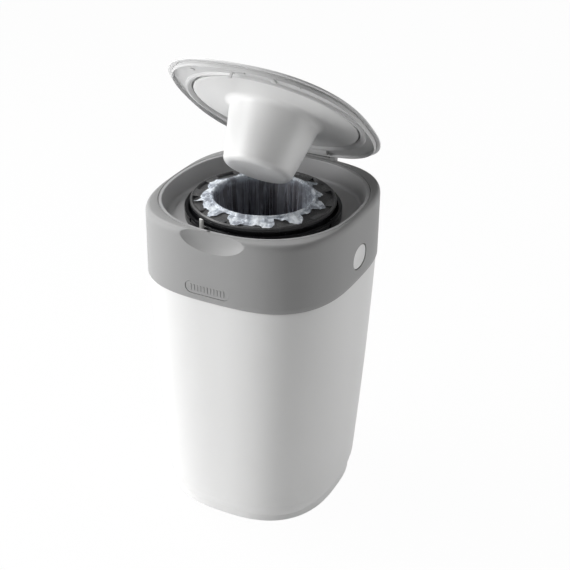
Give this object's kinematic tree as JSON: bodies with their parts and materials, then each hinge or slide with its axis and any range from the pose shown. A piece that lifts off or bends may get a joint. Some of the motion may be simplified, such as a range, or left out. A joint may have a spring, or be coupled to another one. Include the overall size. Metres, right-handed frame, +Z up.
{
  "type": "nappy bin",
  "caption": "Free-standing nappy bin: tapering tub, lift-off grey collar with a film cassette, gripping jaws, release buttons and a hinged lid with a turning plunger.",
  "frame": {"origin": "on the floor under the middle of the bin", "axes": "+Z up, -Y to the front with the lifting scoop, +Y to the lid's hinge"},
  "size_m": [0.247, 0.2632, 0.5792],
  "materials": {
    "white_plastic": "satin moulded white",
    "grey_plastic": "fine-grained mid grey",
    "tray_plastic": "smooth grey",
    "lid_plastic": "satin pale grey",
    "black_plastic": "glossy black",
    "peg_plastic": "pale grey",
    "film": "thin crinkled translucent film",
    "rubber": "matt",
    "seal_rubber": "matt",
    "steel": "bright"
  },
  "bodies": {
    "tub": {"tub_shell": "white_plastic", "base_cover": "white_plastic", "foot_pad_1": "rubber", "foot_pad_2": "rubber", "foot_pad_3": "rubber", "foot_pad_4": "rubber", "base_screw_1": "steel", "base_screw_2": "steel", "base_screw_3": "steel", "base_screw_4": "steel"},
    "upper_unit": {"collar_shell": "grey_plastic", "inner_tray": "tray_plastic", "cassette_well": "grey_plastic", "unit_screw_1": "steel", "unit_screw_2": "steel", "unit_screw_3": "steel", "unit_screw_4": "steel", "hinge_pin": "steel", "latch_tongue_left": "grey_plastic", "latch_tongue_right": "grey_plastic", "pawl_pin": "steel", "jaw_pin_1": "steel", "jaw_pin_2": "steel", "jaw_pin_3": "steel", "jaw_spring_1": "steel", "jaw_spring_2": "steel", "jaw_spring_3": "steel", "cutter_guard": "white_plastic", "cutter_blade": "steel"},
    "lid": {"lid_shell": "lid_plastic", "lid_liner": "lid_plastic", "lid_seal": "seal_rubber", "lid_catch": "lid_plastic", "hinge_washer_left": "steel", "hinge_washer_right": "steel", "dial_bearing": "white_plastic"},
    "dial": {"plunger": "white_plastic", "plunger_neck": "white_plastic", "plunger_plate": "white_plastic", "twist_dial": "grey_plastic", "dial_screw_1": "steel", "dial_screw_2": "steel", "dial_screw_3": "steel"},
    "cassette": {"turntable": "black_plastic", "cassette_body": "black_plastic", "cassette_top_ring": "black_plastic", "film_pack": "film", "film_sleeve": "film", "film_knot": "film"},
    "button_left": {"button_left": "white_plastic"},
    "button_right": {"button_right": "white_plastic"},
    "pawl": {"click_pawl": "peg_plastic"},
    "jaw_1": {"jaw_1": "grey_plastic"},
    "jaw_2": {"jaw_2": "grey_plastic"},
    "jaw_3": {"jaw_3": "grey_plastic"}
  },
  "joints": [
    {"name": "unit_lift", "type": "slide", "parent": "tub", "child": "upper_unit", "axis": [0, 0, 1], "range_m": [0, 0.2], "deforming": ["latch_tongue_left", "latch_tongue_right"]},
    {"name": "lid_hinge", "type": "hinge", "parent": "upper_unit", "child": "lid", "pos_m": [0, 0.128, 0.4068], "axis": [-1, 0, 0], "range_deg": [-40.5, 50]},
    {"name": "dial_turn", "type": "hinge", "parent": "lid", "child": "dial", "pos_m": [0, 0.02672, 0.49146], "axis": [0, 0.6494, 0.7604], "continuous": true},
    {"name": "cassette_turn", "type": "hinge", "parent": "upper_unit", "child": "cassette", "pos_m": [0, -0.004, 0.3415], "axis": [0, 0, 1], "continuous": true},
    {"name": "button_left_press", "type": "slide", "parent": "upper_unit", "child": "button_left", "axis": [1, 0, 0], "range_m": [0, 0.0035], "stiffness_N_per_m": 600, "springref_m": -0.002, "deforming": ["latch_tongue_left"]},
    {"name": "button_right_press", "type": "slide", "parent": "upper_unit", "child": "button_right", "axis": [-1, 0, 0], "range_m": [0, 0.0035], "stiffness_N_per_m": 600, "springref_m": -0.002, "deforming": ["latch_tongue_right"]},
    {"name": "pawl_click", "type": "hinge", "parent": "upper_unit", "child": "pawl", "pos_m": [-0.03204, -0.09449, 0.3685], "axis": [0.9426, -0.3338, 0], "range_deg": [0, 6], "stiffness_Nm_per_rad": 0.05, "springref_deg": -5.73},
    {"name": "jaw_1_swing", "type": "hinge", "parent": "upper_unit", "child": "jaw_1", "pos_m": [0, 0.0555, 0.3132], "axis": [1, 0, 0], "range_deg": [0, 55], "stiffness_Nm_per_rad": 0.02, "springref_deg": -17.19, "deforming": ["jaw_spring_1"]},
    {"name": "jaw_2_swing", "type": "hinge", "parent": "upper_unit", "child": "jaw_2", "pos_m": [-0.05153, -0.03375, 0.3132], "axis": [-0.5, 0.866, 0], "range_deg": [0, 55], "stiffness_Nm_per_rad": 0.02, "springref_deg": -17.19, "deforming": ["jaw_spring_2"]},
    {"name": "jaw_3_swing", "type": "hinge", "parent": "upper_unit", "child": "jaw_3", "pos_m": [0.05153, -0.03375, 0.3132], "axis": [-0.5, -0.866, 0], "range_deg": [0, 55], "stiffness_Nm_per_rad": 0.02, "springref_deg": -17.19, "deforming": ["jaw_spring_3"]}
  ]
}
